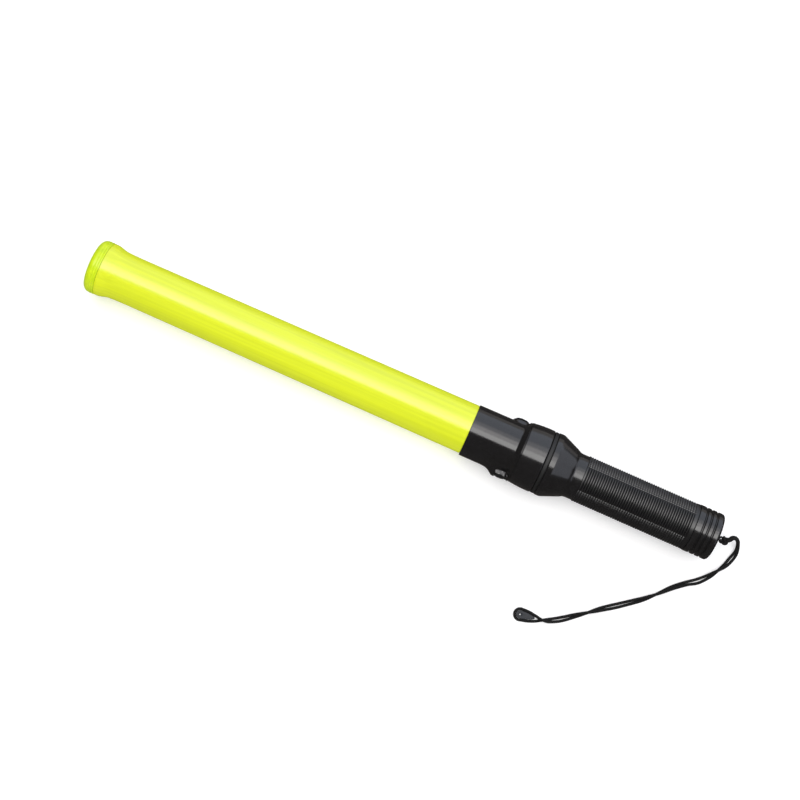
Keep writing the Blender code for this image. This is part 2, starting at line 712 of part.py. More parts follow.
def strand_points():
    """The whole cord: out along one strand, round the far loop, and back along the other."""
    fine = 40
    places = [i / fine for i in range((len(STRAP_ROUTE) - 1) * fine + 1)]
    rows = [smooth_row(STRAP_ROUTE, place) for place in places]
    out, back, run = [], [], 0.0
    steps = [math.dist(a[:3], b[:3]) for a, b in zip(rows, rows[1:])]
    count = round(sum(steps) / CORD_STEP)
    step = sum(steps) / count
    for i, row in enumerate(rows):
        if run >= len(out) * step - 1e-6 or i == len(rows) - 1:
            ahead, behind = rows[min(i + 1, len(rows) - 1)], rows[max(i - 1, 0)]
            along = Vector((ahead[0] - behind[0], ahead[1] - behind[1], 0.0)).normalized()
            across = Vector((-along.y, along.x, 0.0))
            middle, half, twist = Vector(row[:3]), max(row[3], STRAND_PITCH / 2), math.pi * row[4]
            lift = STRAND_PITCH / 2 * math.sin(twist)
            aside = across * half * math.cos(twist)
            up = abs(lift)
            out.append(middle + aside + Vector((0.0, 0.0, up + lift)))
            back.append(middle - aside + Vector((0.0, 0.0, up - lift)))
        if i < len(steps):
            run += steps[i]
    centre = (out[-1] + back[-1]) / 2
    arm = out[-1] - centre
    bow = along * arm.length
    turn = [centre + arm * math.cos(a) + bow * math.sin(a) for a in (math.radians(36 * k) for k in range(1, 5))]
    return out + turn + list(reversed(back))


def strap_cord(finish):
    """The doubled cord as one tube."""
    tube("strap_cord", strand_points(), CORD_R, finish, None, resolution=2)


def strap_tab(finish):
    """The flat leaf-shaped tab that fills the cord's far loop, with a small hole through it."""
    end = Vector(STRAP_ROUTE[-1][:2])
    neck = Vector(STRAP_ROUTE[-4][:2])
    along = (neck - end).normalized()
    angle = math.atan2(along.y, along.x)
    inner = BIGHT_R - CORD_R - GAP - 0.2
    outline = [(x, r) for x, r in arc(0.0, 0.0, inner, 90, 270, 10)]
    outline += [(4.0, -inner + 0.4), (7.2, -inner + 1.6), (9.6, -inner + 2.5)]
    outline += [(9.6, inner - 2.5), (7.2, inner - 1.6), (4.0, inner - 0.4)]
    shape = bmesh.new()
    low = [shape.verts.new((x * MM, y * MM, 0.3 * MM)) for x, y in outline]
    face = shape.faces.new(low)
    grown = bmesh.ops.extrude_face_region(shape, geom=[face])["geom"]
    moved = [v for v in grown if isinstance(v, bmesh.types.BMVert)]
    bmesh.ops.translate(shape, verts=moved, vec=(0.0, 0.0, 1.6 * MM))
    tab = add("strap_end_tab", mesh_of("strap_end_tab", shape), None, (end.x, end.y, 0.0), finish)
    tab.rotation_euler = (0.0, 0.0, angle)
    hole = empty("tab_hole_axis", (0.0, 0.0, 0.0), (0.0, -math.pi / 2, 0.0), tab)
    cut = [(-1.0, 0.0), (-1.0, 0.8), (4.0, 0.8), (4.0, 0.0)]
    combine(tab, turned("tab_hole_cutter", cut, None, hole, sides=12), "DIFFERENCE")


# ---------------------------------------------------------------- assembly


def build():
    """Clear the scene and make every piece."""
    for old in list(bpy.data.objects):
        bpy.data.objects.remove(old)

    glow = material("fluorescent_plastic", (0.72, 0.95, 0.02), 0.35)
    glow_cap = material("fluorescent_cap", (0.6, 0.9, 0.02), 0.3)
    black = material("black_plastic", (0.012, 0.012, 0.015), 0.35)
    dark = material("black_button", (0.008, 0.008, 0.009), 0.5)
    inner = material("grey_plastic", (0.45, 0.45, 0.45), 0.6)
    fibreglass = material("green_board", (0.02, 0.16, 0.05), 0.45)
    lens = material("led_lens", (0.9, 0.9, 0.85), 0.1)
    chip = material("chip_black", (0.02, 0.02, 0.02), 0.6)
    can = material("capacitor_sleeve", (0.02, 0.03, 0.12), 0.4)
    steel = material("plated_steel", (0.6, 0.6, 0.6), 0.3, 1.0)
    brass = material("brass", (0.75, 0.55, 0.2), 0.3, 1.0)
    jacket = material("battery_jacket", (0.1, 0.12, 0.2), 0.35)
    rubber = material("black_rubber", (0.01, 0.01, 0.01), 0.8)
    red = material("red_insulation", (0.6, 0.02, 0.02), 0.5)
    cord = material("black_cord", (0.015, 0.015, 0.014), 0.85)
    leather = material("tab_plastic", (0.04, 0.04, 0.05), 0.4)

    axis = empty("baton_axis", (-BATON_LENGTH / 2, 0.0, RING_R))
    main_side = empty("main_button_axis", (BUTTON_STATION, 0.0, 0.0), (0.0, 0.0, -math.pi / 2), axis)
    other_side = empty("side_button_axis", (BUTTON_STATION, 0.0, 0.0), (0.0, 0.0, math.pi / 2), axis)
    cap_axis = empty("tail_cap_axis", (0.0, 0.0, 0.0), (0.0, 0.0, 0.0), axis)

    tip_cap(axis, glow_cap)
    light_tube(axis, glow)
    light_board(axis, fibreglass, inner, lens)

    switch_housing(axis, main_side, other_side, black)
    head_collar(axis, black)
    seam_gasket(axis, rubber)
    button("main_button", main_side, dark, MAIN_BUTTON_R, 24.0, 26.1, 6.2, 16.9)
    button("side_button", other_side, dark, SIDE_BUTTON_R, 22.8, 24.9, 7.0, 16.7)
    switches(axis, main_side, other_side, chip, inner, steel)
    control_board(axis, fibreglass, chip, can, steel, brass)
    wiring(axis, red, rubber)

    handle_shell(axis, black)
    for name, front in zip(("battery_front", "battery_rear"), BATTERY_FRONTS):
        battery(name, front, axis, jacket)
    contact_strip(axis, brass)

    tail_cap(cap_axis, black)
    tail_seal(cap_axis, rubber)
    tail_contact(cap_axis, brass, steel)
    strap_eye(cap_axis, steel)
    strap_knot(cap_axis, cord)
    strap_cord(cord)
    strap_tab(leather)


build()
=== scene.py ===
"""Looks of the traffic baton light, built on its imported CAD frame.

The baton's axis runs along X at the height AXIS, with the tip towards -X.  Working lengths are in
millimetres, and MM turns them into metres.  A station is a distance along the axis from the tip's end
face.  An angle round the axis is 0 at the top and 90 degrees towards -Y, where the main button is.
"""

import math

import bmesh
import bpy
from mathutils import Matrix, Vector


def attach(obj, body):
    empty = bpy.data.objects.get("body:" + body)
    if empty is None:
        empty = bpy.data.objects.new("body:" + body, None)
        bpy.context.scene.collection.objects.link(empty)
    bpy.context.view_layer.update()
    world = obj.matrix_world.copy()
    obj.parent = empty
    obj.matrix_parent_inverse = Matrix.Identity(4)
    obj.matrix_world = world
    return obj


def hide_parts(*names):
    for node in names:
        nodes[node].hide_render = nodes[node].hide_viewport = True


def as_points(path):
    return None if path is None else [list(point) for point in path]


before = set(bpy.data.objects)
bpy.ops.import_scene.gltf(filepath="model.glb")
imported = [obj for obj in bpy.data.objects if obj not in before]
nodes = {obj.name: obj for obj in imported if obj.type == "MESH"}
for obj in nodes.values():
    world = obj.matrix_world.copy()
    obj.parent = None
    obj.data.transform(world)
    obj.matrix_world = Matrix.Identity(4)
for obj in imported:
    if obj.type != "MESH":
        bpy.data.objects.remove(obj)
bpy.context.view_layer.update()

MM = 0.001
AXIS = 26.3
MID = 270.0  # the station that lies over the origin
BUTTON_STATION = 363.8


# ---------------------------------------------------------------- camera, floor and light


def put(name, data):
    """Link new data to the scene as an object."""
    made = bpy.data.objects.new(name, data)
    bpy.context.scene.collection.objects.link(made)
    return made


def camera():
    """Almost straight down, turned so that the baton runs from upper left to lower right."""
    tilt, roll, distance = math.radians(81.0), math.radians(23.75), 1.32
    target = Vector((-0.0033, 0.0, AXIS * MM))
    place = target + Vector((0.0333, -distance * math.cos(tilt), distance * math.sin(tilt)))
    ahead = (target - place).normalized()
    level = Vector((1.0, 0.0, 0.0))
    level = (level - ahead * level.dot(ahead)).normalized()
    rise = level.cross(ahead)
    right = level * math.cos(roll) + rise * math.sin(roll)
    up = rise * math.cos(roll) - level * math.sin(roll)
    data = bpy.data.cameras.new("camera")
    data.sensor_width = 36.0
    data.lens = 36.0 * distance / 0.63623
    data.shift_x, data.shift_y = 0.001, -0.0018
    made = put("camera", data)
    turn = Matrix((right, up, -ahead)).transposed().to_4x4()
    made.matrix_world = Matrix.Translation(place) @ turn
    bpy.context.scene.camera = made


def panel(name, low, high, radiance, colour, radius=2.2, length=3.5, ahead=0.0):
    """A soft panel along the baton, between two angles from overhead towards +Y."""
    middle, half = math.radians((low + high) / 2), math.radians((high - low) / 2)
    data = bpy.data.lights.new(name, "AREA")
    data.shape = "RECTANGLE"
    data.size, data.size_y = length, 2 * radius * math.tan(half)
    data.energy = radiance * math.pi * data.size * data.size_y
    data.color = colour
    made = put(name, data)
    away = Vector((0.0, math.sin(middle), math.cos(middle)))
    side = Vector((1.0, 0.0, 0.0))
    turn = Matrix((side, away.cross(side), away)).transposed().to_4x4()
    made.matrix_world = Matrix.Translation(away * radius + side * ahead) @ turn
    made.visible_camera = False
    return made


def studio():
    scene = bpy.context.scene
    scene.view_settings.view_transform = "Standard"
    world = bpy.data.worlds.new("studio")
    scene.world = world
    world.use_nodes = True
    world.node_tree.nodes["Background"].inputs["Color"].default_value = (0.08, 0.073, 0.068, 1.0)
    world.node_tree.nodes["Background"].inputs["Strength"].default_value = 1.0
    panel("softbox_edge", -13.5, 7.5, 3.7, (1.0, 0.99, 0.98))
    panel("softbox_top", 8.0, 23.5, 2.5, (1.0, 0.98, 0.99))
    panel("softbox_middle", 24.0, 39.5, 1.4, (0.92, 0.94, 1.0))
    panel("softbox_side", 40.0, 87.0, 1.0, (0.8, 0.87, 1.0))
    panel("softbox_foot", 87.5, 106.0, 0.42, (1.0, 0.94, 0.9))
    panel("end_top", -42.0, 20.0, 0.85, (0.84, 0.88, 1.0), length=1.7, ahead=2.65)
    panel("end_side", 20.5, 80.0, 0.85, (0.84, 0.88, 1.0), length=1.7, ahead=2.65)
    fill = panel("fill", -78.0, -26.0, 1.2, (1.0, 1.0, 1.0))
    fill.visible_glossy = False

    disc = bmesh.new()
    bmesh.ops.create_circle(disc, cap_ends=True, segments=96, radius=1.7)
    floor_mesh = bpy.data.meshes.new("floor")
    disc.to_mesh(floor_mesh)
    disc.free()
    floor = put("floor", floor_mesh)
    paper = dict(emission_color=(1.0, 1.0, 1.0), emission_strength=0.34)
    grey, greyer = (0.74, 0.74, 0.74), (0.71, 0.71, 0.71)
    floor_mesh.materials.append(surface("pale_floor", grey, 0.75, other=greyer, scale=3.0, **paper))
    floor.visible_glossy = False
    wall_mesh = bmesh.new()
    bmesh.ops.create_uvsphere(wall_mesh, u_segments=48, v_segments=24, radius=8.5)
    mesh = bpy.data.meshes.new("backdrop")
    wall_mesh.to_mesh(mesh)
    wall_mesh.free()
    wall = put("backdrop", mesh)
    pale = bpy.data.materials.new("pale_backdrop")
    pale.use_nodes = True
    shader = pale.node_tree.nodes["Principled BSDF"]
    shader.inputs["Base Color"].default_value = (0.0, 0.0, 0.0, 1.0)
    shader.inputs["Emission Color"].default_value = (1.0, 1.0, 1.0, 1.0)
    shader.inputs["Emission Strength"].default_value = 1.0
    mesh.materials.append(pale)
    for kind in ("diffuse", "glossy", "transmission", "volume_scatter", "shadow"):
        setattr(wall, "visible_" + kind, False)


# ---------------------------------------------------------------- materials


def surface(
    name,
    colour,
    rough,
    other=None,
    scale=400.0,
    stretch=(1.0, 1.0, 1.0),
    grain=0.0,
    grain_scale=2500.0,
    grain_stretch=(1.0, 1.0, 1.0),
    rough_spread=0.08,
    metallic=0.0,
    wear=0.0,
    wear_colour=(0.3, 0.3, 0.3),
    uv_weave=None,
    **settings,
):
    """A procedural finish: mottled colour, uneven roughness, a fine grain, and wear on raised edges."""
    made = bpy.data.materials.new(name)
    made.use_nodes = True
    tree = made.node_tree
    shader = tree.nodes["Principled BSDF"]
    place = tree.nodes.new("ShaderNodeTexCoord")

    def node(kind, links=None, **values):
        fresh = tree.nodes.new(kind)
        for key, value in values.items():
            if key.startswith("in_"):
                fresh.inputs[key[3:].replace("_", " ")].default_value = value
            else:
                setattr(fresh, key, value)
        for socket, source in (links or {}).items():
            tree.links.new(source, fresh.inputs[socket])
        return fresh

    def noise(by, scaled, detail=4.0):
        spot = node("ShaderNodeMapping", {"Vector": place.outputs["Object"]}, in_Scale=by)
        return node("ShaderNodeTexNoise", {"Vector": spot.outputs["Vector"]}, in_Scale=scaled, in_Detail=detail)

    mottle = noise(stretch, scale)
    blend = node("ShaderNodeMapRange", {"Value": mottle.outputs["Fac"]}, in_From_Min=0.32, in_From_Max=0.68)
    other = other or tuple(c * 0.8 for c in colour)
    mixed = node("ShaderNodeMix", {"Factor": blend.outputs["Result"]}, data_type="RGBA")
    colours = [s for s in mixed.inputs if s.type == "RGBA"]
    colours[0].default_value = (*other, 1.0)
    colours[1].default_value = (*colour, 1.0)
    shade = [o for o in mixed.outputs if o.type == "RGBA"][0]
    if wear:
        edge = node("ShaderNodeNewGeometry")
        raised = node(
            "ShaderNodeMapRange", {"Value": edge.outputs["Pointiness"]}, in_From_Min=0.53, in_From_Max=0.62
        )
        rub = noise((1.0, 1.0, 1.0), 900.0, 6.0)
        patch = node("ShaderNodeMapRange", {"Value": rub.outputs["Fac"]}, in_From_Min=0.45, in_From_Max=0.62)
        amount = node(
            "ShaderNodeMath", {0: raised.outputs["Result"], 1: patch.outputs["Result"]}, operation="MULTIPLY"
        )
        amount = node("ShaderNodeMath", {0: amount.outputs[0]}, operation="MULTIPLY")
        amount.inputs[1].default_value = wear
        worn = node("ShaderNodeMix", {"Factor": amount.outputs[0]}, data_type="RGBA")
        colours = [s for s in worn.inputs if s.type == "RGBA"]
        tree.links.new(shade, colours[0])
        colours[1].default_value = (*wear_colour, 1.0)
        shade = [o for o in worn.outputs if o.type == "RGBA"][0]
    smear = noise((1.0, 1.0, 1.0), 60.0, 5.0)
    dull = node("ShaderNodeMapRange", {"Value": smear.outputs["Fac"]}, in_From_Min=0.3, in_From_Max=0.7)
    dull.inputs["To Min"].default_value = max(rough - rough_spread / 2, 0.02)
    dull.inputs["To Max"].default_value = min(rough + rough_spread / 2, 1.0)
    tree.links.new(dull.outputs["Result"], shader.inputs["Roughness"])
    normal = None
    if grain:
        fine = noise(grain_stretch, grain_scale)
        bump = node("ShaderNodeBump", {"Height": fine.outputs["Fac"]}, in_Strength=0.5, in_Distance=grain * MM)
        normal = bump.outputs["Normal"]
    if uv_weave:
        turns, run, depth, valley_shade = uv_weave
        heights = []
        for sign in (1.0, -1.0):
            lay = node("ShaderNodeMapping", {"Vector": place.outputs["UV"]}, in_Scale=(run, turns * sign, 1.0))
            wave = node(
                "ShaderNodeTexWave", {"Vector": lay.outputs["Vector"]}, in_Scale=1.0, bands_direction="DIAGONAL"
            )
            wave.inputs["Distortion"].default_value = 0.4
            heights.append(wave.outputs["Fac"])
        over = node("ShaderNodeMath", {0: heights[0], 1: heights[1]}, operation="MAXIMUM")
        bump = node("ShaderNodeBump", {"Height": over.outputs[0]}, in_Strength=0.8, in_Distance=depth * MM)
        if normal:
            tree.links.new(normal, bump.inputs["Normal"])
        normal = bump.outputs["Normal"]
        # Painted shade: the braid's low valleys take the darker colour, shading the recesses between its
        # strands.
        shaded_weave = node("ShaderNodeMix", {"Factor": over.outputs[0]}, data_type="RGBA")
        colours = [s for s in shaded_weave.inputs if s.type == "RGBA"]
        colours[0].default_value = (*valley_shade, 1.0)
        tree.links.new(shade, colours[1])
        shade = [o for o in shaded_weave.outputs if o.type == "RGBA"][0]
    if normal:
        tree.links.new(normal, shader.inputs["Normal"])
    tree.links.new(shade, shader.inputs["Base Color"])
    shader.inputs["Metallic"].default_value = metallic
    for key, value in settings.items():
        socket = shader.inputs[key.replace("_", " ").title().replace("Ior", "IOR")]
        socket.default_value = (*value, 1.0) if isinstance(value, tuple) else value
    return made


# ---------------------------------------------------------------- shapes


def on_axis(station, radius, angle):
    """A place round the baton's own axis, in metres."""
    return Vector((station - MID, -radius * math.sin(angle), AXIS + radius * math.cos(angle))) * MM


def on_side(sign):
    """Places points round a button's axis, which points along -Y or +Y: a station is then a height."""

    def spot(height, radius, angle):
        x, z = radius * math.cos(angle), radius * math.sin(angle)
        return Vector((BUTTON_STATION - MID + x, sign * height, AXIS + z)) * MM

    return spot


def even(count):
    """That many angles, evenly round a circle."""
    return [2 * math.pi * i / count for i in range(count)]


def rounded(points, closed=True):
    """Corners (station, radius, rounding) with their roundings turned into short arcs."""
    out, count = [], len(points)
    for i, (x, y, *rest) in enumerate(points):
        bend = rest[0] if rest else 0.0
        if not bend or (not closed and i in (0, count - 1)):
            out.append((x, y))
            continue
        here = Vector((x, y))
        before, after = Vector(points[i - 1][:2]), Vector(points[(i + 1) % count][:2])
        one = here.lerp(before, min(bend / max((before - here).length, 1e-9), 0.48))
        two = here.lerp(after, min(bend / max((after - here).length, 1e-9), 0.48))
        for k in range(6):
            u = k / 5
            out.append(tuple(one * (1 - u) ** 2 + here * 2 * u * (1 - u) + two * u * u))
    return out


def flowing(points, step):
    """A smooth curve through (station, radius) points, at about that step."""
    out = []
    for i in range(len(points) - 1):
        p = [Vector(points[max(0, min(len(points) - 1, i + k))]) for k in (-1, 0, 1, 2)]
        count = max(1, round((p[2] - p[1]).length / step))
        for k in range(count):
            u = k / count
            a, b = (p[2] - p[0]) / 2, (p[3] - p[1]) / 2
            span = p[2].x - p[1].x
            if span > 0:
                a *= min(1.0, span / max(a.x, 1e-9)) if a.x > span else 1.0
                b *= min(1.0, span / max(b.x, 1e-9)) if b.x > span else 1.0
            h = (2 * u**3 - 3 * u**2 + 1, u**3 - 2 * u**2 + u, -2 * u**3 + 3 * u**2, u**3 - u**2)
            out.append(tuple(p[1] * h[0] + a * h[1] + p[2] * h[2] + b * h[3]))
    return out + [tuple(points[-1])]


def turned(name, rows, finish, angles=None, spot=on_axis, shape=None, crease=32.0, closed=True):
    """A turned body from its section's rows, closed on itself or from pole to pole."""
    angles = angles or even(128)
    shaped = bmesh.new()
    rings = []
    for i, row in enumerate(rows):
        station, radius = row[0], row[1]
        if radius < 1e-6:
            rings.append([shaped.verts.new(spot(station, 0.0, 0.0))])
            continue
        ring = []
        for angle in angles:
            r = shape(i, station, radius, angle) if shape else radius
            ring.append(shaped.verts.new(spot(station, r, angle)))
        rings.append(ring)
    pairs = list(zip(rings, rings[1:]))
    if closed and len(rings[0]) > 1 and len(rings[-1]) > 1:
        pairs.append((rings[-1], rings[0]))
    count = len(angles)
    for a, b in pairs:
        for k in range(count):
            n = (k + 1) % count
            corners = [a[k % len(a)], a[n % len(a)], b[n % len(b)], b[k % len(b)]]
            corners = [c for j, c in enumerate(corners) if c not in corners[:j]]
            if len(corners) > 2:
                shaped.faces.new(corners)
    return piece(name, shaped, finish, crease)


def piece(name, shaped, finish, crease=32.0):
    """Make an object of a finished bmesh, smooth but for edges sharper than crease degrees."""
    bmesh.ops.recalc_face_normals(shaped, faces=shaped.faces)
    mesh = bpy.data.meshes.new(name)
    shaped.to_mesh(mesh)
    shaped.free()
    made = put(name, mesh)
    mesh.materials.append(finish)
    soften(mesh, crease)
    return made


def soften(mesh, crease):
    mesh.polygons.foreach_set("use_smooth", [True] * len(mesh.polygons))
    mesh.set_sharp_from_angle(angle=math.radians(crease))


def joined(first, tool, how):
    """Add tool to first, or cut it out of it, and keep first as one mesh."""
    change = first.modifiers.new("change", "BOOLEAN")
    change.operation, change.solver, change.object = how, "EXACT", tool
    bpy.context.view_layer.update()
    seen = first.evaluated_get(bpy.context.evaluated_depsgraph_get())
    mesh = bpy.data.meshes.new_from_object(seen)
    first.modifiers.clear()
    first.data = mesh
    bpy.data.objects.remove(tool)
    soften(mesh, 32.0)


def stands_for(made, node, body):
    """Let a piece take a CAD node's place on its body."""
    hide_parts(node)
    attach(made, body)


def pipe(name, points, radius, finish, sides=12, loop=False, relief=None):
    """A round tube along points in millimetres, with its length and turn as UV."""
    shaped = bmesh.new()
    uv = shaped.loops.layers.uv.new("UVMap")
    count = len(points)
    points = [Vector(p) for p in points]
    frames, across, run = [], None, 0.0
    for i, here in enumerate(points):
        after = points[(i + 1) % count] if loop else points[min(i + 1, count - 1)]
        before = points[i - 1] if loop or i else points[0]
        along = (after - before).normalized()
        if across is None:
            across = along.orthogonal().normalized()
        across = (across - along * across.dot(along)).normalized()
        frames.append((here, across.copy(), along.cross(across), run))
        if i < count - 1:
            run += (points[i + 1] - here).length
    rings = []
    for here, one, two, so_far in frames:
        ring = []
        for k in range(sides):
            a = 2 * math.pi * k / sides
            r = radius + (relief(so_far, a) if relief else 0.0)
            ring.append(shaped.verts.new((here + one * r * math.cos(a) + two * r * math.sin(a)) * MM))
        rings.append(ring)
    steps = count if loop else count - 1
    for i in range(steps):
        a, b = rings[i], rings[(i + 1) % count]
        shift = 0
        if loop and i == count - 1:
            shift = min(range(sides), key=lambda s: (a[0].co - b[s].co).length)
        for k in range(sides):
            n = (k + 1) % sides
            face = shaped.faces.new((a[k], a[n], b[(n + shift) % sides], b[(k + shift) % sides]))
            here, there = frames[i][3], frames[i][3] + (points[(i + 1) % count] - points[i]).length
            for spot, value in zip(face.loops, ((here, k), (here, k + 1), (there, k + 1), (there, k))):
                spot[uv].uv = (value[0] / 10.0, value[1] / sides)
    if not loop:
        shaped.faces.new(list(reversed(rings[0])))
        shaped.faces.new(rings[-1])
    return piece(name, shaped, finish, 60.0)


# ---------------------------------------------------------------- the strap's cord

CORD_R = 1.2
PITCH = 2.5
STRAP_ROUTE = (
    (282.6, 4.2, 19.4, 1.25, -0.3),
    (284.9, 6.9, 16.0, 1.25, -0.3),
    (288.1, 8.2, 11.5, 1.25, -0.3),
    (291.2, 7.4, 7.2, 1.25, -0.3),
    (293.1, 5.0, 3.6, 1.25, -0.3),
    (294.2, 1.4, 1.8, 1.25, -0.24),
    (294.1, -2.5, 1.3, 1.3, -0.08),
    (292.8, -7.0, 1.2, 1.45, 0.0),
    (290.4, -13.2, 1.2, 1.25, 0.2),
    (286.7, -19.4, 1.2, 1.25, 0.5),
    (281.5, -26.8, 1.2, 1.25, 0.85),
    (274.6, -34.2, 1.2, 1.6, 1.0),
    (267.0, -39.6, 1.2, 1.25, 1.1),
    (258.3, -46.9, 1.2, 1.25, 1.2),
    (249.4, -56.0, 1.2, 1.25, 1.45),
    (240.4, -64.6, 1.2, 1.25, 1.75),
    (230.8, -72.2, 1.2, 1.3, 1.92),
    (221.4, -79.3, 1.2, 1.4, 2.0),
    (212.2, -85.9, 1.2, 1.25, 2.15),
    (203.2, -93.0, 1.2, 1.25, 2.5),
    (194.0, -100.0, 1.2, 1.3, 2.8),
    (185.6, -106.4, 1.2, 1.45, 2.95),
    (177.4, -111.2, 1.2, 1.25, 3.15),
    (171.4, -113.5, 1.2, 1.25, 3.55),
    (166.0, -114.5, 1.2, 2.3, 3.92),
    (160.4, -115.2, 1.2, 3.7, 4.0),
    (154.0, -116.1, 1.2, 4.45, 4.0),
)


def row_at(rows, place):
    """The Catmull-Rom value of a table of rows at a fractional row number."""
    i = min(int(place), len(rows) - 2)
    u = place - i
    p = [rows[max(0, min(len(rows) - 1, i + k))] for k in (-1, 0, 1, 2)]
    return tuple(
        0.5 * (2 * b + (c - a) * u + (2 * a - 5 * b + 4 * c - d) * u * u + (3 * b - a - 3 * c + d) * u**3)
        for a, b, c, d in zip(*p)
    )


def strand_points(fine):
    """One strand out, the half turn round the tab, and the other strand back."""
    rows = [row_at(STRAP_ROUTE, i / fine) for i in range((len(STRAP_ROUTE) - 1) * fine + 1)]
    out, back = [], []
    for i, row in enumerate(rows):
        ahead, behind = rows[min(i + 1, len(rows) - 1)], rows[max(i - 1, 0)]
        along = Vector((ahead[0] - behind[0], ahead[1] - behind[1], 0.0)).normalized()
        across = Vector((-along.y, along.x, 0.0))
        middle, half, twist = Vector(row[:3]), max(row[3], PITCH / 2), math.pi * row[4]
        lift = PITCH / 2 * math.sin(twist)
        aside = across * half * math.cos(twist)
        out.append(middle + aside + Vector((0.0, 0.0, abs(lift) + lift)))
        back.append(middle - aside + Vector((0.0, 0.0, abs(lift) - lift)))
    centre = (out[-1] + back[-1]) / 2
    arm = out[-1] - centre
    bow = along * arm.length
    turn = [centre + arm * math.cos(a) + bow * math.sin(a) for a in (math.radians(9 * k) for k in range(1, 20))]
    return out + turn + list(reversed(back))


def resample(points, step):
    """The same line with points evenly apart."""
    runs = [0.0]
    for a, b in zip(points, points[1:]):
        runs.append(runs[-1] + (b - a).length)
    count = round(runs[-1] / step)
    out, i = [], 0
    for k in range(count + 1):
        want = runs[-1] * k / count
        while i < len(points) - 2 and runs[i + 1] < want:
            i += 1
        span = max(runs[i + 1] - runs[i], 1e-9)
        out.append(points[i].lerp(points[i + 1], min(1.0, (want - runs[i]) / span)))
    return out, runs[-1]


def braid(run, angle):
    """Relief of a round braid: two sets of strands crossing."""
    one = math.sin(4 * angle + run * 3.4)
    two = math.sin(4 * angle - run * 3.4)
    return 0.07 * (max(one, two) ** 2) - 0.05


def strap_cord(finish):
    """The whole cord as one braided tube, with the line it follows and its length."""
    line, length = resample(strand_points(24), 0.42)
    made = pipe("strap_cord_braid", line, CORD_R, finish, sides=16, relief=braid)
    stands_for(made, "strap_cord", "strap_carrier")
    return made, line, length


# ---------------------------------------------------------------- baton pieces


def tip_cap(finish):
    """The plug in the tube's mouth: a flat face, a rounded corner and two fine rings."""
    radius = 21.9
    ridge = []
    for i in range(41):
        s = 5.2 + 4.3 * i / 40
        lift = sum(0.3 * math.exp(-(((s - m) / 0.34) ** 2)) for m in (6.1, 8.3))
        ridge.append((s, radius + lift))
    corner_r = 4.8
    quarter = [math.pi / 2 * k / 12 for k in range(13)]
    corner = [(corner_r * (1 - math.cos(a)), radius - corner_r * (1 - math.sin(a))) for a in quarter]
    inside = [(9.5, 19.8), (12.5, 19.8), (12.5, 18.2), (3.2, 17.9), (2.0, 16.3), (2.0, 0.0)]
    rows = [(0.0, 0.0), (0.0, 6.0), (0.0, 12.0)] + corner + ridge + inside
    made = turned("tip_cap_moulding", rows, finish)
    stands_for(made, "tip_cap", "light_body")


def light_tube(finish):
    """The translucent tube: a flared mouth, a slight taper and a spigot in the head."""
    outer = [(9.8, 21.75), (9.95, 21.9), (13.0, 21.8), (16.0, 21.2), (19.0, 20.3)]
    outer += [(22.5, 19.8), (28.0, 19.55), (38.0, 19.45)]
    outer = flowing(outer, 0.5)
    for i in range(1, 30):
        outer.append((38.0 + 289.5 * i / 29, 19.45 + i / 29))
    inner = [(327.5, 19.5), (345.0, 19.5), (345.0, 18.0), (325.5, 18.0), (321.5, 18.95), (38.0, 17.95)]
    inner += [(28.0, 18.05), (22.5, 18.3), (19.0, 18.8), (13.0, 20.2), (9.8, 20.2)]
    made = turned("light_tube_shell", outer + inner, finish)
    stands_for(made, "light_tube", "light_body")


def nearer(a, b, k):
    """The larger of two values, with a fillet of about k where they meet."""
    h = max(k - abs(a - b), 0.0) / k
    return max(a, b) + h * h * k / 4


def along_line(points, at):
    """The height of a straight-sided line of points at a place along it."""
    if at <= points[0][0]:
        return points[0][1]
    for (a, b), (c, d) in zip(points, points[1:]):
        if at <= c:
            u = (at - a) / (c - a)
            return b + (d - b) * u
    return points[-1][1]


GUARD = flowing([(346.6, 20.9), (350.6, 21.7), (353.4, 23.2), (356.2, 25.2), (357.9, 26.2), (361.1, 26.2)], 0.4)
GUARD += [(363.8, 25.2), (371.3, 24.9)]


def housing_radius(station, radius, angle):
    """The barrel with its guarded collar towards -Y and its low boss towards +Y."""
    for centre, kind in ((math.pi / 2, "main"), (3 * math.pi / 2, "low")):
        off = angle - centre
        if abs(off) > math.radians(30):
            continue
        r = radius
        for _ in range(3):
            across = r * math.sin(off)
            reach = math.hypot(station - BUTTON_STATION, across)
            square = ((station - BUTTON_STATION) ** 4 + across**4) ** 0.25
            if kind == "main":
                side = max(0.0, abs(across) - 2.6)
                ramp = along_line(GUARD, station) - 1.5 * side * side / (side + 1.6)
                ring = 24.5 - 0.5 * (1 - math.sqrt(max(0.0, 1 - min(max(0.0, (square - 6.3) / 0.5), 1.0) ** 2)))
                ring -= 9.0 * max(0.0, square - 6.8)
                r = nearer(radius, ramp / math.cos(off), 3.0)
                r = nearer(r, ring / math.cos(off), 0.4)
            else:
                height = 22.8 - max(0.0, reach - 6.7) * 1.7
                r = nearer(radius, height / math.cos(off), 0.9)
            r = min(r, 26.6)
        return r
    return radius


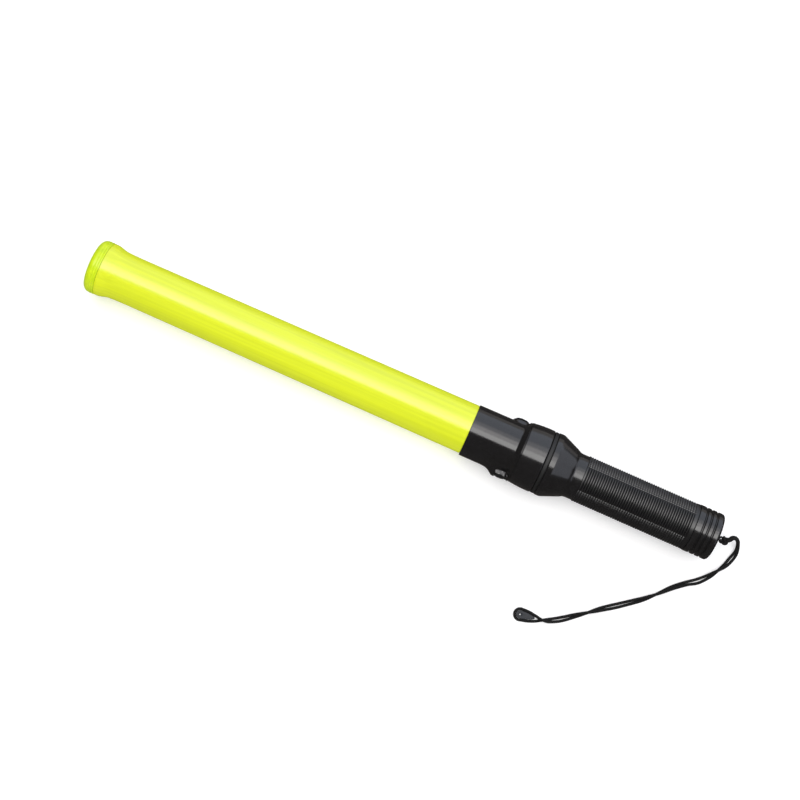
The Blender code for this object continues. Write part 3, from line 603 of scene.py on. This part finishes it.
def switch_housing(finish):
    """The barrel that the tube enters, its two bosses, and the spigot inside the collar."""
    outer = [(327.8, 20.7), (327.95, 21.0), (328.4, 21.2)]
    steps = 88
    outer += [(328.4 + 38.4 * i / steps, 21.2 + 0.2 * i / steps) for i in range(1, steps + 1)]
    outer += flowing([(366.9, 21.42), (367.6, 21.8), (368.6, 22.6), (371.1, 24.85)], 0.35)
    outer += [(371.3, 25.0), (371.4, 24.9)]

    def bossed(i, station, radius, angle):
        return housing_radius(station, radius, angle) if i < len(outer) else radius

    inner = [(371.4, 23.2), (390.0, 23.2), (390.0, 21.5), (373.1, 21.5), (373.1, 19.8), (327.8, 19.8)]
    dense = [math.radians(64 + 52 * i / 68) for i in range(69)]
    angles = sorted(
        dense
        + [a + math.pi for a in dense]
        + [math.radians(-64 + 128 * i / 34) % (2 * math.pi) for i in range(1, 34)]
        + [math.radians(116 + 128 * i / 34) for i in range(1, 34)]
    )
    made = turned("switch_housing_moulding", outer + inner, finish, angles, shape=bossed)
    for sign, radius in ((-1, 5.3), (1, 6.2)):
        drill = [(10.0, 0.0), (10.0, radius), (30.0, radius), (30.0, 0.0)]
        hole = turned("hole", drill, finish, even(72), on_side(sign))
        joined(made, hole, "DIFFERENCE")
    stands_for(made, "switch_housing", "light_body")


def push_button(name, node, sign, radius, base, top, flange_r, flange, finish):
    """A domed rubber button with a fine ring groove, its flange and its stem."""
    stem, over = flange - 1.5, flange + 1.1
    rows = [(stem, 0.0), (stem, 2.0), (flange, 2.0), (flange, flange_r), (over, flange_r)]
    rows += [(over, radius), (base, radius)]
    rise = top - base
    for k in range(1, 25):
        a = math.radians(90.0 * k / 24)
        r = radius * math.cos(a) ** 0.7 if k < 24 else 0.0
        groove = 0.14 * math.exp(-(((r - radius * 0.62) / 0.22) ** 2))
        rows.append((base + rise * math.sin(a) - groove, r))
    made = turned(name, rows, finish, even(72), on_side(sign), crease=50.0)
    stands_for(made, node, node)


def head_collar(finish):
    """The widest ring."""
    rows = rounded(
        [(371.8, 23.5), (371.8, 24.8, 0.2), (372.4, 25.3, 0.4), (382.8, 26.3, 5.0), (390.3, 26.3, 0.5)]
        + [(391.0, 25.6, 0.25), (391.0, 23.5)]
    )
    made = turned("head_collar_ring", rows, finish)
    stands_for(made, "head_collar", "light_body")


def seam_gasket(finish):
    """The ring between the collar and the handle, nearly flush with both."""
    rows = [(391.3, 21.4), (391.3, 25.7)]
    rows += [(391.3 + 3.0 * k / 16, 25.8 + 0.2 * math.sin(math.pi * k / 16) ** 0.7) for k in range(1, 16)]
    rows += [(394.3, 25.7), (394.3, 21.4)]
    made = turned("seam_gasket_ring", rows, finish)
    stands_for(made, "seam_gasket", "light_body")


RIB_PITCH = 1.95
RIB_RADII = (19.2, 19.2, 19.2, 18.9, 18.35, 18.9)  # at even steps along one rib and its groove
KNURL_R, KNURL_SWING = 18.82, 0.38
KNURL_CELLS = 60
PANEL_PERIOD, PANEL_WIDTH, PANEL_TURN = 120.0, 59.0, 23.2  # degrees round the grip
GRIP_FRONT, GRIP_END = 424.3, 519.0
THREAD_PITCH = 2.8
THREAD_ROWS = 29
BORE_THREAD_TOP = 18.2  # everything further out than this is the grip's outside


def handle_shell(finish, grip_finish):
    """The cone, neck and grip: ribbed panels between knurled ones."""
    spigot = [(385.0, 17.3), (385.0, 21.1), (394.6, 21.1), (394.6, 25.9, 0.2)]
    cone = [(395.0, 26.3, 0.3), (399.0, 26.3, 0.4), (400.6, 25.7, 0.8), (413.8, 20.2, 1.6)]
    neck = [(415.8, 19.0, 0.9), (417.8, 18.6, 0.9), (423.7, 18.6, 0.15), (424.2, 19.15, 0.15)]
    rows = rounded(spigot + cone + neck, closed=False)
    first = len(rows)
    ribs = int((GRIP_END - 1.2 - GRIP_FRONT) / RIB_PITCH)
    start = GRIP_FRONT + 0.35
    for k in range(ribs):
        s = start + k * RIB_PITCH
        rows += [(s + RIB_PITCH * n / 6, depth) for n, depth in enumerate(RIB_RADII)]
    last = len(rows)
    rows += [(518.4, 19.2), (518.75, 19.15), (519.0, 18.95)]
    thread = len(rows)
    rows += [(519.0 - 6.8 * k / (THREAD_ROWS - 1), 17.95) for k in range(THREAD_ROWS)]
    rows += [(512.2, 17.3)]
    angles = []
    for a in even(KNURL_CELLS):
        angles += [a + math.radians(d) for d in (0.0, 1.5, 3.0, 4.5)]

    def grip(i, station, radius, angle):
        if first <= i < last:
            if (math.degrees(angle) + PANEL_TURN) % PANEL_PERIOD > PANEL_WIDTH:
                along = math.cos(2 * math.pi * (i - first) / len(RIB_RADII))
                return KNURL_R + KNURL_SWING * min(along, math.cos(KNURL_CELLS * angle))
            return radius
        if thread <= i < thread + THREAD_ROWS:
            turn = ((station / THREAD_PITCH) - angle / (2 * math.pi)) % 1.0
            return 17.95 + 0.16 * (0.5 + 0.5 * math.cos(2 * math.pi * turn))
        if radius < 17.31:
            off = min(angle, 2 * math.pi - angle)
            if off < math.radians(11.0):
                return 17.75 / math.cos(off)
        return radius

    made = turned("handle_shell_moulding", rows, finish, angles, shape=grip, crease=30.0)
    made.data.materials.append(grip_finish)
    for face in made.data.polygons:
        out_from_axis = math.hypot(face.center.y, face.center.z - AXIS * MM)
        if face.center.x > (GRIP_FRONT - MID) * MM and out_from_axis > BORE_THREAD_TOP * MM:
            face.material_index = 1
    stands_for(made, "handle_shell", "light_body")


def tail_cap(finish):
    """The cap: three round grooves, a dished end with the eye's hole, and a threaded plug."""
    rows = [(519.3, 17.55), (519.3, 19.1), (519.4, 19.35), (519.65, 19.5)]
    for groove in (525.1, 529.4, 533.9):
        across = [1.25 * k / 8 for k in range(-8, 9)]
        rows += [(groove + x, 19.5 - 1.0 * math.cos(math.pi * x / 2.5) ** 2) for x in across]
    quarter = [math.pi / 2 * k / 10 for k in range(11)]
    rows += [(537.6 + 2.4 * math.sin(a), 17.1 + 2.4 * math.cos(a)) for a in quarter]
    rows += [(540.0, 9.0), (540.0, 6.2), (539.7, 5.9), (539.7, 4.2), (540.0, 3.9), (540.0, 1.7), (539.8, 1.5)]
    rows += [(537.5, 1.5), (537.5, 4.6), (534.6, 4.6), (534.6, 15.3), (513.1, 15.3)]
    first = len(rows)
    rows += [(513.1 + 3.4 * k / 20, 17.55) for k in range(21)]
    last = len(rows)
    rows += [(516.6, 16.25), (518.6, 16.25), (518.6, 17.55)]

    def thread(i, station, radius, angle):
        if first <= i < last:
            turn = ((station / THREAD_PITCH) - angle / (2 * math.pi)) % 1.0
            fade = min(1.0, (station - 513.1) / 0.6, (516.5 - station) / 0.6)
            return 17.3 + 0.3 * max(0.0, fade) * (0.5 + 0.5 * math.cos(2 * math.pi * (turn - 0.5)))
        return radius

    made = turned("tail_cap_moulding", rows, finish, shape=thread)
    stands_for(made, "tail_cap", "tail_cap")


def hang_frame():
    """Where the strap's knot hangs: turns lengths along the link's direction into the row frame."""
    turn = Matrix.Rotation(math.radians(15.0), 3, "Z") @ Matrix.Rotation(math.radians(38.0), 3, "Y")
    origin = Vector((543.2 - MID, 0.0, AXIS))
    return lambda p: turn @ Vector(p) + origin


def strap_eye(finish):
    """The swivel pin through the cap's end wall, and its ring."""
    head = [(535.1, 0.0), (535.1, 3.0, 0.3), (536.9, 3.0, 0.3)]
    rows = rounded(head + [(536.9, 1.1), (541.6, 1.1), (541.6, 0.0)], closed=False)
    pin = turned("strap_eye_pin", rows, finish, even(32))
    ring = [(543.2 - MID + 2.2 * math.cos(a), 0.0, AXIS + 2.2 * math.sin(a)) for a in even(48)]
    loop = pipe("ring", ring, 0.6, finish, sides=14, loop=True)
    joined(pin, loop, "UNION")
    stands_for(pin, "strap_eye", "strap_carrier")
    return pin


def strap_knot(finish, ends):
    """An overhand knot pulled tight, its small loop through the eye's ring, and its two tails."""
    spot = hang_frame()
    loop = [spot((2.7 + 2.2 * math.cos(a), 2.2 * math.sin(a), 0.0)) for a in even(40)]
    made = pipe("strap_knot_cord", loop, 0.72, finish, sides=14, loop=True)
    knot = []
    for a in even(150):
        wide = 2.25 + 0.8 * math.cos(3 * a)
        knot.append(spot((7.3 + wide * math.cos(2 * a), wide * math.sin(2 * a) * 0.9, 1.15 * math.sin(3 * a))))
    fine_braid = lambda run, a: 0.7 * braid(run, a)
    wound = pipe("strap_knot_turns", knot, 1.1, finish, sides=16, loop=True, relief=fine_braid)
    parts = [made, wound]
    for n, (end, after) in enumerate(ends):
        near = spot((8.0, 0.6 - 1.2 * n, 0.0))
        away = (end - after).normalized()
        bend = near.lerp(end + away * 1.2, 0.6)
        line = [row_at([tuple(near), tuple(bend), tuple(end), tuple(after)], u / 8) for u in range(18)]
        parts.append(pipe(f"strap_knot_tail_{n + 1}", line, CORD_R, finish, sides=16))
    for part in parts[1:]:
        part.parent = made
    stands_for(made, "strap_knot", "strap_carrier")
    return parts


def strap_tab(finish):
    """A flat leaf that nearly fills the cord's far loop, with a dimpled hole."""
    end, neck = Vector(STRAP_ROUTE[-1][:2]), Vector(STRAP_ROUTE[-4][:2])
    along = (neck - end).normalized()
    aside = Vector((-along.y, along.x))
    count, inner, hole = 96, 3.15, 0.6
    shaped = bmesh.new()

    def edge(a):
        x, y = math.cos(a), math.sin(a)
        if x <= 0:
            return inner * x, inner * y
        line = [(0.0, 3.15), (3.0, 3.0), (6.5, 2.45), (9.6, 1.7), (11.6, 1.0), (12.2, 0.0)]
        reach = abs(a if a < math.pi else a - 2 * math.pi) / (math.pi / 2)
        px = 12.2 * (1 - reach) ** 0.9
        return px, math.copysign(along_line(line, px), y)

    rings = []
    upper = ((0.0, 0.95), (0.12, 1.5), (0.3, 1.72), (0.55, 1.6), (0.8, 1.56), (0.93, 1.6), (1.0, 1.4))
    under = ((1.0, 0.55), (0.93, 0.3), (0.3, 0.3), (0.0, 0.45))
    for share, height in upper + under:
        ring = []
        for a in even(count):
            x, y = edge(a)
            px, py = hole * math.cos(a), hole * math.sin(a)
            px, py = px + (x - px) * share, py + (y - py) * share
            place = end + along * px + aside * py
            ring.append(shaped.verts.new(Vector((place.x, place.y, height)) * MM))
        rings.append(ring)
    for a, b in zip(rings, rings[1:] + rings[:1]):
        for k in range(count):
            n = (k + 1) % count
            shaped.faces.new((a[k], a[n], b[n], b[k]))
    bmesh.ops.remove_doubles(shaped, verts=shaped.verts, dist=1e-6)
    made = piece("strap_tab_leaf", shaped, finish, 40.0)
    stands_for(made, "strap_end_tab", "strap_carrier")
    return made


# ---------------------------------------------------------------- assembly

camera()
studio()

# The last colour in uv_weave is painted shade for the braid's valleys.
cord_finish = surface(
    "cord_fibre", (0.006, 0.0057, 0.0055), 0.7, specular_ior_level=0.25, other=(0.003, 0.003, 0.003),
    scale=1500.0, grain=0.05, grain_scale=6000.0, uv_weave=(4.0, 5.0, 0.05, (0.0015, 0.0015, 0.0015)),
    sheen_weight=0.02,
)
cord, cord_line, cord_length = strap_cord(cord_finish)

# Painted glow: the tube's emission lights it evenly and brightens its shaded lower side, though it is no lamp.
tube_glow_finish = surface(
    "fluorescent_tube_painted_glow", (0.62, 0.69, 0.012), 0.25, other=(0.53, 0.60, 0.009), scale=420.0,
    stretch=(0.02, 1.0, 1.0), specular_ior_level=0.95, grain=0.05, grain_scale=600.0,
    grain_stretch=(0.03, 1.0, 1.0), rough_spread=0.03, emission_color=(0.85, 1.0, 0.0),
    emission_strength=0.12,
)
# Painted glow: the tip cap's emission lights it evenly, though it is no lamp.
tip_glow_finish = surface(
    "fluorescent_tip_painted_glow", (0.57, 0.71, 0.007), 0.3, specular_ior_level=0.6, other=(0.46, 0.62, 0.004),
    scale=250.0, grain=0.02, grain_scale=900.0, emission_color=(0.75, 1.0, 0.0), emission_strength=0.08,
)
BLACK, BLACK_2 = (0.0078, 0.0076, 0.0082), (0.0056, 0.0054, 0.0058)
head_finish = surface(
    "head_black_plastic", BLACK, 0.15, specular_ior_level=0.85, other=BLACK_2, scale=220.0, grain=0.012,
    grain_scale=1400.0, rough_spread=0.07, wear=0.35, wear_colour=(0.08, 0.08, 0.085),
)
handle_finish = surface(
    "handle_black_plastic", BLACK, 0.17, specular_ior_level=0.8, other=BLACK_2, scale=260.0, grain=0.015,
    grain_scale=1600.0, rough_spread=0.08, wear=0.3, wear_colour=(0.08, 0.08, 0.085),
)
grip_finish = surface(
    "grip_black_plastic", BLACK, 0.3, specular_ior_level=0.78, other=BLACK_2, scale=420.0, grain=0.03,
    grain_scale=2600.0, rough_spread=0.12, wear=0.3, wear_colour=(0.06, 0.06, 0.065),
)
cap_finish = surface(
    "cap_black_plastic", BLACK, 0.17, specular_ior_level=0.85, other=BLACK_2, scale=240.0, grain=0.012,
    grain_scale=1500.0, rough_spread=0.08, wear=0.35, wear_colour=(0.09, 0.09, 0.095),
)
button_finish = surface(
    "button_rubber", (0.012, 0.012, 0.013), 0.34, other=(0.008, 0.008, 0.009), scale=700.0, grain=0.02,
)
# A darker copy of the button rubber: its halved colour is painted shade that dims the side button's dome.
side_button_shaded_finish = surface(
    "side_button_shaded_rubber", (0.006, 0.006, 0.006), 0.55, other=(0.006, 0.006, 0.007), scale=700.0, grain=0.02,
    specular_ior_level=0.1,
)
seal_finish = surface(
    "seal_rubber", (0.010, 0.010, 0.010), 0.55, other=(0.006, 0.006, 0.006), scale=900.0, grain=0.03,
)
eye_finish = surface(
    "eye_steel", (0.10, 0.10, 0.105), 0.36, other=(0.05, 0.05, 0.055), scale=1200.0, grain=0.01,
    metallic=0.8,
)
tab_finish = surface(
    "strap_tab_plastic", (0.017, 0.019, 0.025), 0.45, specular_ior_level=0.3, other=(0.011, 0.013, 0.017),
    scale=500.0, grain=0.02,
)

tip_cap(tip_glow_finish)
light_tube(tube_glow_finish)
switch_housing(head_finish)
push_button("main_button_dome", "main_button", -1, 5.0, 24.0, 26.1, 6.2, 16.9, button_finish)
push_button("side_button_dome", "side_button", 1, 5.9, 22.8, 24.9, 7.0, 16.7, side_button_shaded_finish)
head_collar(head_finish)
seam_gasket(seal_finish)
handle_shell(handle_finish, grip_finish)
tail_cap(cap_finish)
eye = strap_eye(eye_finish)
knot = strap_knot(cord_finish, ((cord_line[0], cord_line[2]), (cord_line[-1], cord_line[-3])))
tab = strap_tab(tab_finish)

INNER = {
    "battery": dict(
        colour=(0.10, 0.12, 0.20), rough=0.34, other=(0.05, 0.06, 0.12), scale=90.0, stretch=(0.2, 1, 1),
        metallic=0.6, grain=0.01,
    ),
    "circuit": dict(
        colour=(0.02, 0.20, 0.06), rough=0.4, other=(0.012, 0.12, 0.035), scale=700.0, grain=0.04,
        grain_scale=900.0,
    ),
    "plastic": dict(
        colour=(0.46, 0.46, 0.45), rough=0.5, other=(0.38, 0.38, 0.37), scale=300.0, grain=0.03,
    ),
    "red": dict(colour=(0.60, 0.02, 0.02), rough=0.42, other=(0.45, 0.012, 0.012), scale=600.0, grain=0.02),
    "black": dict(
        colour=(0.02, 0.02, 0.02), rough=0.45, other=(0.012, 0.012, 0.012), scale=600.0, grain=0.02,
    ),
    "lens": dict(
        colour=(0.9, 0.9, 0.84), rough=0.08, other=(0.85, 0.84, 0.74), scale=500.0, rough_spread=0.03,
        grain=0.005, coat_weight=0.5,
    ),
    "switch": dict(
        colour=(0.025, 0.025, 0.027), rough=0.5, other=(0.015, 0.015, 0.017), scale=800.0, grain=0.03,
    ),
    "can": dict(
        colour=(0.05, 0.07, 0.20), rough=0.3, other=(0.035, 0.05, 0.15), scale=500.0, metallic=0.4,
        grain=0.01,
    ),
    "brass": dict(
        colour=(0.75, 0.55, 0.20), rough=0.28, other=(0.6, 0.40, 0.14), scale=400.0, metallic=1.0,
        grain=0.02, grain_scale=1500.0, grain_stretch=(0.1, 1, 1),
    ),
    "steel": dict(
        colour=(0.58, 0.58, 0.57), rough=0.3, other=(0.45, 0.45, 0.45), scale=600.0, metallic=1.0,
        grain=0.02, grain_scale=1800.0,
    ),
}
INNER_NODES = {
    "battery": ("battery_front", "battery_rear"),
    "circuit": ("led_board", "control_board"),
    "plastic": ("board_tip_holder", "board_head_holder", "switch_frame"),
    "red": ("led_wire_red", "main_switch_lead"),
    "black": ("led_wire_black", "side_switch_lead"),
    "lens": tuple(f"led_{side}_{n}" for side in ("upper", "lower") for n in range(1, 5)),
    "switch": ("main_switch", "side_switch", "driver_chip"),
    "can": ("filter_capacitor",),
    "brass": ("front_contact", "contact_strip", "tail_contact_cup"),
    "steel": (
        "board_screw_1", "board_screw_2", "board_screw_3", "main_button_spring", "side_button_spring",
        "tail_spring",
    ),
}
for label, members in INNER_NODES.items():
    finish = surface("inner_" + label, **INNER[label])
    for member in members:
        data = nodes[member].data
        data.materials.clear()
        data.materials.append(finish)
o_ring = nodes["tail_o_ring"].data
o_ring.materials.clear()
o_ring.materials.append(seal_finish)

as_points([tuple(p * MM) for p in cord_line[::12]] + [tuple(cord_line[-1] * MM)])
